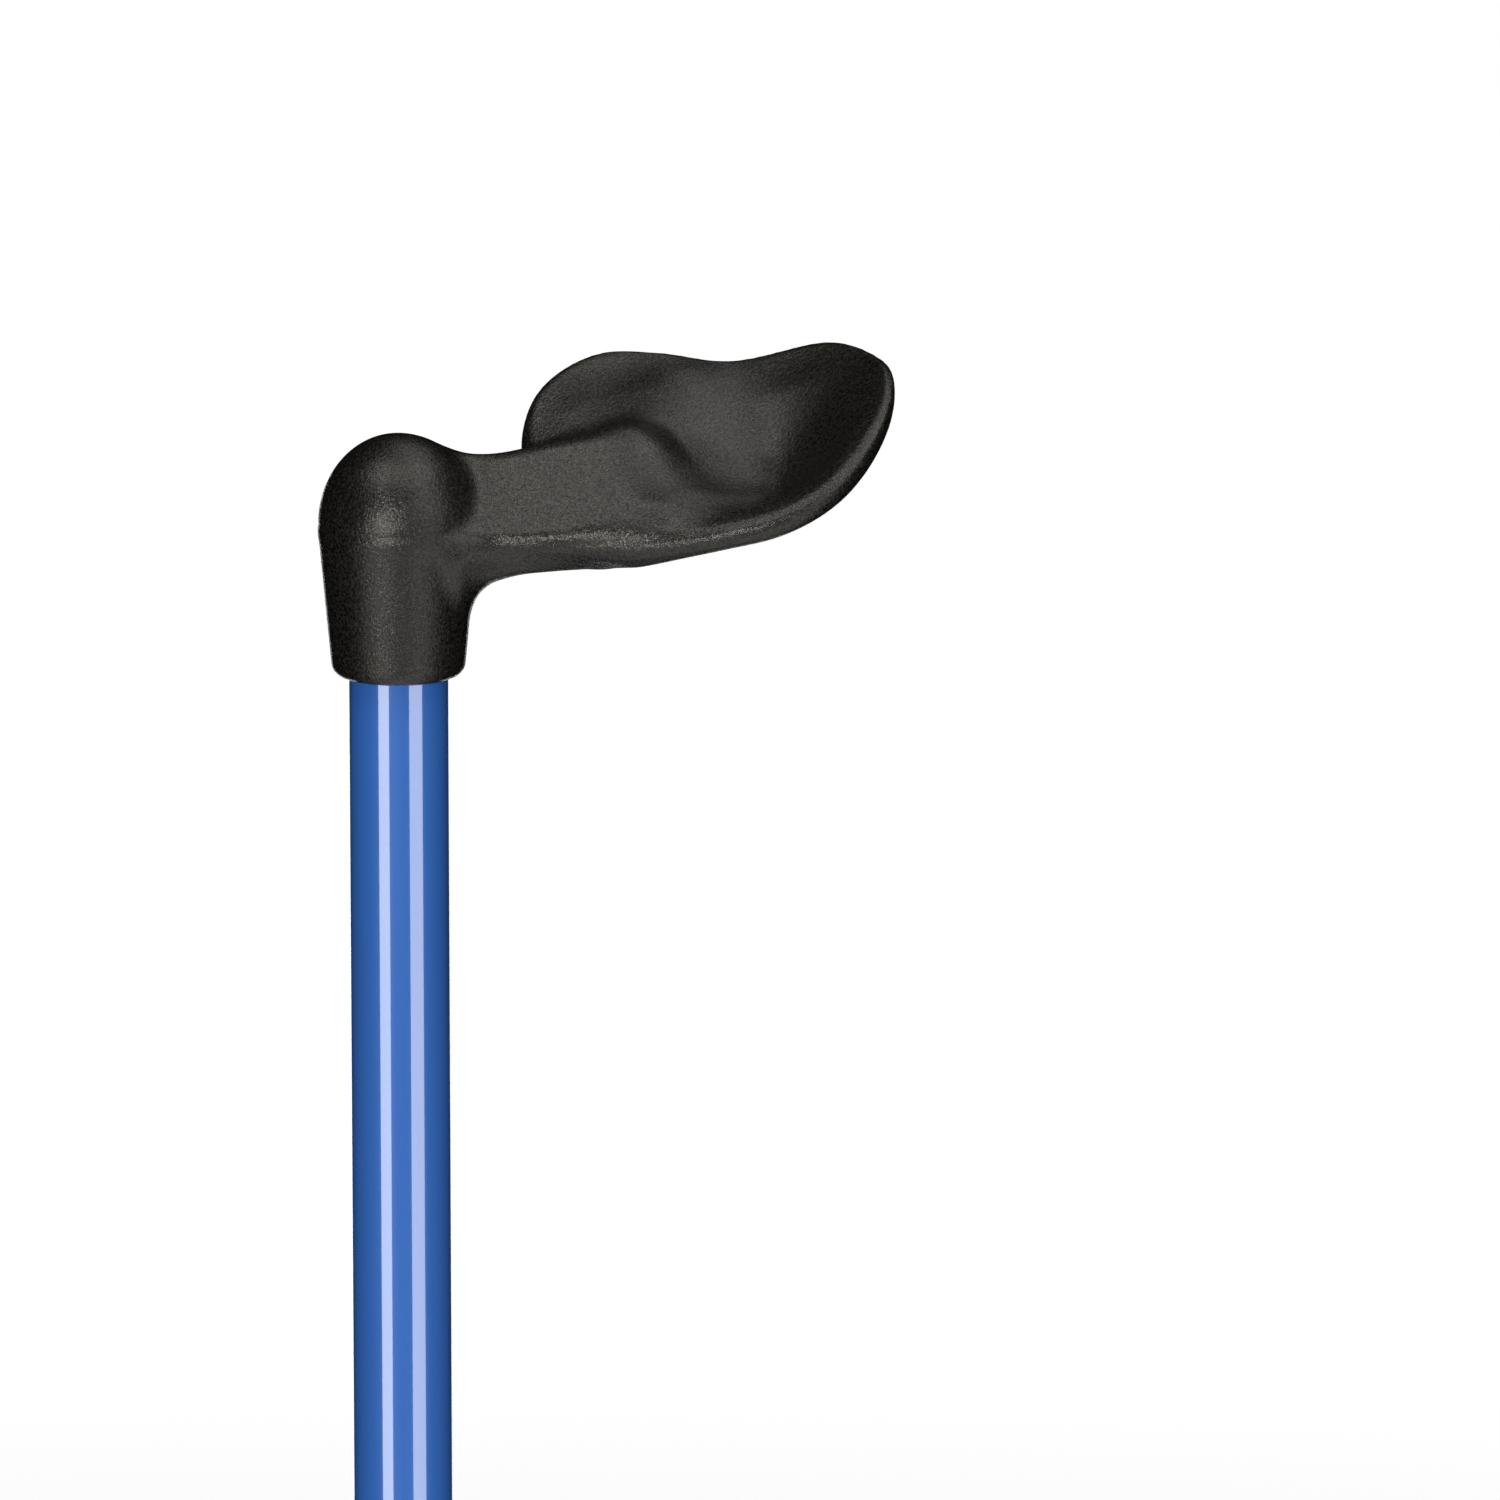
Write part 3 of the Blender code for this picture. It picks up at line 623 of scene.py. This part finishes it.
def cut(target, name, radius, ends, segments=48):
    """Cuts straight rods, each given by its two ends, out of a piece's mesh."""
    shape = bmesh.new()
    for start, end in ends:
        start, end = Vector(start), Vector(end)
        along = end - start
        made = bmesh.ops.create_cone(
            shape, cap_ends=True, segments=segments, radius1=radius, radius2=radius, depth=along.length
        )["verts"]
        turn = Vector((0, 0, 1)).rotation_difference(along).to_matrix()
        bmesh.ops.rotate(shape, cent=(0, 0, 0), matrix=turn, verts=made)
        bmesh.ops.translate(shape, vec=(start + end) / 2, verts=made)
    cutter = new_object(name, mesh_of(name, shape))
    boolean = target.modifiers.new(name, "BOOLEAN")
    boolean.operation = "DIFFERENCE"
    boolean.solver = "EXACT"
    boolean.object = cutter
    bpy.context.view_layer.update()
    result = bpy.data.meshes.new_from_object(target.evaluated_get(bpy.context.evaluated_depsgraph_get()))
    target.modifiers.remove(boolean)
    target.data = result
    bpy.data.objects.remove(cutter)


def tube_mesh(name, bore, radius, foot, top):
    """A tube with its ends lightly rounded, in short rings so that holes cut in it shade evenly."""
    rings = [foot + (top - foot) * step / 24 for step in range(25)]
    inner = [(bore, z) for z in rings[::-1]]
    outer = [(radius, z) for z in rings]
    ends = rounded_profile([inner[-1], outer[0], outer[-1], inner[0]], 0.25 * MM)
    middle = len(ends) // 4
    profile = ends[middle : 2 * middle] + outer[1:-1] + ends[2 * middle :]
    profile += inner[1:-1] + ends[:middle]
    return turned(name, profile)


def make_handle(material):
    mesh = form_mesh("palm_grip_handle", handle_with_openings, FORM_STEP)
    mesh.transform(Matrix.Translation((0, 0, HANDLE_FOOT)))
    made = piece("palm_grip_handle", mesh, "upper", material, "handle_plastic", "handle")
    even = made.modifiers.new("even", "SMOOTH")
    even.factor = 0.5
    even.iterations = 1


def make_upper_tube(material):
    mesh = tube_mesh("upper_tube_finish", UPPER_BORE, TUBE_RADIUS, UPPER_LOW.z, UPPER_HIGH.z)
    made = piece("upper_tube_finish", mesh, "upper", material, "blue_tube", "upper_tube")
    heights = [BUTTON_Z + (step - HOLE_COUNT // 2) * HOLE_PITCH for step in range(HOLE_COUNT)]
    inside, outside = 0.5 * UPPER_BORE, 1.5 * TUBE_RADIUS
    cut(made, "height_holes", HOLE_RADIUS, [((inside, 0, z), (outside, 0, z)) for z in heights])
    cut(made, "pin_way", PIN_RADIUS + GAP, [((0, inside, PIN_Z), (0, outside, PIN_Z))])
    soften(made, HOLE_BEVEL)


def make_lower_tube(material):
    mesh = tube_mesh("lower_tube_finish", LOWER_BORE, LOWER_RADIUS, LOWER_LOW.z, LOWER_HIGH.z)
    made = piece("lower_tube_finish", mesh, "lower", material, "blue_tube", "lower_tube")
    inside, outside = 0.5 * LOWER_BORE, 1.5 * LOWER_RADIUS
    cut(made, "button_way", HOLE_RADIUS, [((inside, 0, BUTTON_Z), (outside, 0, BUTTON_Z))])
    soften(made, BUTTON_HOLE_BEVEL)


def soften(made, width):
    """Breaks the sharp edges of the holes."""
    made.data.set_sharp_from_angle(angle=CUT_CREASE)
    bevel = made.modifiers.new("broken_edges", "BEVEL")
    bevel.width = width
    bevel.segments = 2
    bevel.limit_method = "ANGLE"
    bevel.angle_limit = BEVEL_CREASE
    bevel.harden_normals = True


def make_handle_pin(material):
    """The rolled pin's outer end, in the back of the collar."""
    inner = PIN_RADIUS * 0.6
    corners = [(inner, PIN_LOW.y), (PIN_RADIUS, PIN_LOW.y), (PIN_RADIUS, PIN_HIGH.y), (inner, PIN_HIGH.y)]
    mesh = turned("rolled_pin", rounded_profile(corners, 0.25 * MM), 48, math.radians(325))
    mesh.transform(Matrix.Translation((0, 0, PIN_Z)) @ Matrix.Rotation(math.radians(-90), 4, "X"))
    piece("rolled_pin", mesh, "upper", material, "steel", "handle_pin")


def make_lock_bush(material):
    """The threaded sleeve and its flange."""
    foot, top, flange = BUSH_LOW.z, BUSH_HIGH.z, BUSH_HIGH.x
    flange_foot = top - FLANGE_THICKNESS
    corners = [(LOWER_RADIUS + GAP, foot), (THREAD_ROOT, foot)]
    for turn in range(THREAD_TURNS):
        start = flange_foot - THREAD_RUN_OUT - (THREAD_TURNS - turn) * THREAD_PITCH
        corners += [
            (THREAD_ROOT, start),
            (THREAD_CREST, start + 0.35 * THREAD_PITCH),
            (THREAD_CREST, start + 0.65 * THREAD_PITCH),
        ]
    corners += [(THREAD_ROOT, flange_foot), (flange, flange_foot), (flange, top)]
    inside, shoulder = TUBE_RADIUS + GAP, UPPER_LOW.z - GAP
    corners += [(inside, top), (inside, shoulder), (LOWER_RADIUS + GAP, shoulder)]
    mesh = turned("threaded_bush", rounded_profile(corners, 0.7 * MM, 3), 96)
    piece("threaded_bush", mesh, "upper", material, "lock_plastic", "lock_bush")


def make_lock_collar(material):
    """The screwed collar: two plain bands with a scalloped grip between them."""
    foot, top, grip = COLLAR_LOW.z, COLLAR_HIGH.z, COLLAR_HIGH.x
    thread_end = BUSH_LOW.z
    corners = [
        (LOCK_MOUTH, foot),
        (13.4 * MM, foot),
        (LOCK_BAND, foot + 2 * MM),
        (LOCK_BAND, foot + 6 * MM),
        (grip, foot + 7 * MM),
        (grip, top - 4.5 * MM),
        (LOCK_BAND, top - 3.5 * MM),
        (LOCK_BAND, top),
        (LOCK_BORE, top),
        (LOCK_BORE, thread_end + 0.6 * MM),
        (13.2 * MM, thread_end + 0.2 * MM),
        (12.0 * MM, thread_end - 14.4 * MM),
        (LOCK_MOUTH, thread_end - 14.6 * MM),
    ]
    profile = rounded_profile(corners, 0.8 * MM)
    flutes = {"flutes": FLUTE_COUNT, "depth": FLUTE_DEPTH, "least": FLUTES_FROM}
    mesh = turned("scalloped_collar", profile, 288, **flutes)
    piece("scalloped_collar", mesh, "collar", material, "lock_plastic", "lock_collar")


def make_snap_button(material):
    """The domed stud with its flange and rivet tail."""
    tail, tip, flange = BUTTON_LOW.x, BUTTON_HIGH.x, BUTTON_HIGH.z - BUTTON_Z
    profile = [
        (0, tail),
        (TAIL_RADIUS, tail),
        (TAIL_RADIUS, tail + 0.6 * MM),
        (TAIL_NECK, tail + 0.6 * MM),
        (TAIL_NECK, tail + 1.8 * MM),
        (flange, tail + 1.8 * MM),
        (flange, tail + 2.3 * MM),
        (STUD_RADIUS, tail + 2.5 * MM),
    ]
    for step in range(BUTTON_DOME_STEPS + 1):
        angle = math.radians(90 * step / BUTTON_DOME_STEPS)
        radius = STUD_RADIUS * math.cos(angle) if step < BUTTON_DOME_STEPS else 0
        profile.append((radius, tip - BUTTON_DOME + BUTTON_DOME * math.sin(angle)))
    mesh = turned("domed_button", profile, 64)
    mesh.transform(Matrix.Translation((0, 0, BUTTON_Z)) @ Matrix.Rotation(math.radians(90), 4, "Y"))
    piece("domed_button", mesh, "button", material, "steel", "snap_button")


def make_ferrule(material):
    """The rubber foot: ringed tread, flared base and ribbed sleeve."""
    top, base = FERRULE_HIGH.z, FERRULE_HIGH.x
    corners = [(0, 0), (TREAD_START * MM, 0)]
    for groove in TREAD_GROOVES:
        corners += [((groove + out) * MM, up * MM) for out, up in GROOVE_STEPS]
    side = list(FERRULE_SIDE)
    for rib in RIB_HEIGHTS:
        side += [(out, rib + up) for out, up in RIB_STEPS]
    corners += [(min(out * MM, base), up * MM) for out, up in side]
    bore, floor = LOWER_RADIUS + GAP, LOWER_LOW.z - 2.3 * MM
    corners += [(13.2 * MM, top - 3 * MM), (12.5 * MM, top), (bore, top), (bore, floor), (0, floor)]
    mesh = turned("rubber_foot", rounded_profile(corners, 2.0 * MM), 128)
    piece("rubber_foot", mesh, "lower", material, "rubber", "ferrule")


def finish_cad_node(name, material):
    """Gives a CAD node that is kept its material and, where it is round, smooth shading."""
    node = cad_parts[name]
    node.data.materials.clear()
    node.data.materials.append(material)
    node.data.shade_smooth()
    node.data.set_sharp_from_angle(angle=CUT_CREASE)


# Setting


def make_camera():
    """Looks at the handle from the near side, level enough to see into its dish."""
    data = bpy.data.cameras.new("camera")
    data.sensor_width = 36
    data.lens = data.sensor_width * CAMERA_DISTANCE / PICTURE_WIDTH
    data.clip_end = 60
    camera = new_object("camera", data)
    back = Vector((0, -math.cos(CAMERA_RISE), math.sin(CAMERA_RISE)))
    up = Vector((0, math.sin(CAMERA_RISE), math.cos(CAMERA_RISE)))
    aim = Vector((PICTURE_MIDDLE[0], 0, HANDLE_FOOT)) + up * PICTURE_MIDDLE[1]
    camera.location = aim + back * CAMERA_DISTANCE
    camera.rotation_euler = back.to_track_quat("Z", "Y").to_euler()
    bpy.context.scene.camera = camera


def soft_box(name, place, aim, width, height, brightness):
    """A rectangular lamp whose face has an even brightness, whatever its size."""
    data = bpy.data.lights.new(name, "AREA")
    data.shape = "RECTANGLE"
    data.size = width
    data.size_y = height
    data.energy = brightness * math.pi * width * height
    lamp = new_object(name, data)
    lamp.location = place
    lamp.rotation_euler = (Vector(place) - Vector(aim)).to_track_quat("Z", "Y").to_euler()
    lamp.visible_camera = False


def around(azimuth, distance, height):
    """A point at an azimuth from the near side, positive to the right."""
    angle = math.radians(azimuth)
    return distance * math.sin(angle), -distance * math.cos(angle), height


def lamp_at(name, azimuth, elevation, width, height, brightness):
    """A lamp seen from the handle in this direction, this many degrees wide and high."""
    direction = around(azimuth, math.cos(math.radians(elevation)), math.sin(math.radians(elevation)))
    aside, upward = (2 * LAMP_DISTANCE * math.tan(math.radians(angle / 2)) for angle in (width, height))
    place = HANDLE_MIDDLE + LAMP_DISTANCE * Vector(direction)
    soft_box(name, place, HANDLE_MIDDLE, aside, upward, brightness)


def make_lights():
    """The lamps do all the lighting: the white world is only what the camera sees behind the stick."""
    for name, (azimuth, distance, width, brightness) in STRIPS.items():
        aim = (0, 0, STRIP_MIDDLE)
        soft_box(name, around(azimuth, distance, STRIP_MIDDLE), aim, width, STRIP_HEIGHT, brightness)
    for name, settings in LAMPS.items():
        lamp_at(name, *settings)
    world = bpy.data.worlds.new("studio")
    bpy.context.scene.world = world
    world.use_nodes = True
    background = world.node_tree.nodes["Background"]
    background.inputs["Color"].default_value = (1, 1, 1, 1)
    background.inputs["Strength"].default_value = 1.0
    world.cycles_visibility.diffuse = False
    world.cycles_visibility.glossy = False


def make_floor():
    """A pale floor that glows white away from the stick and doesn't light it."""
    bpy.ops.mesh.primitive_circle_add(vertices=96, radius=FLOOR_RADIUS, fill_type="NGON")
    floor = bpy.context.object
    floor.name = "floor"
    look = Nodes("pale_floor", (0.60, 0.60, 0.60), 0.7)
    away = look.add("ShaderNodeVectorMath", {"operation": "LENGTH"}, Vector=look.place((1, 1, 1)))
    look.set("Emission Color", (1, 1, 1, 1))
    glow = look.mapped(away.outputs["Value"], FLOOR_GLOW_FROM, FLOOR_GLOW_TO, 0.35, 1.0)
    look.link(glow, "Emission Strength")
    look.shade(look.noise(0.4), (0.59, 0.59, 0.59), (0.61, 0.61, 0.61))
    floor.data.materials.append(look.material)
    floor.visible_diffuse = False
    floor.visible_glossy = False
    floor.visible_shadow = False


def main():
    bpy.context.scene.view_settings.view_transform = "Standard"
    make_camera()
    make_lights()
    make_floor()
    blue, black, metal, foot = blue_tube(), lock_plastic(), steel(), rubber()
    make_handle(handle_plastic())
    make_handle_pin(metal)
    make_upper_tube(blue)
    make_lower_tube(blue)
    make_lock_bush(black)
    make_lock_collar(black)
    make_snap_button(metal)
    make_ferrule(foot)
    pale = nylon()
    finish_cad_node("squeeze_ring", pale)
    finish_cad_node("guide_bush", pale)
    finish_cad_node("snap_spring", metal)
    finish_cad_node("ferrule_disc", metal)


main()
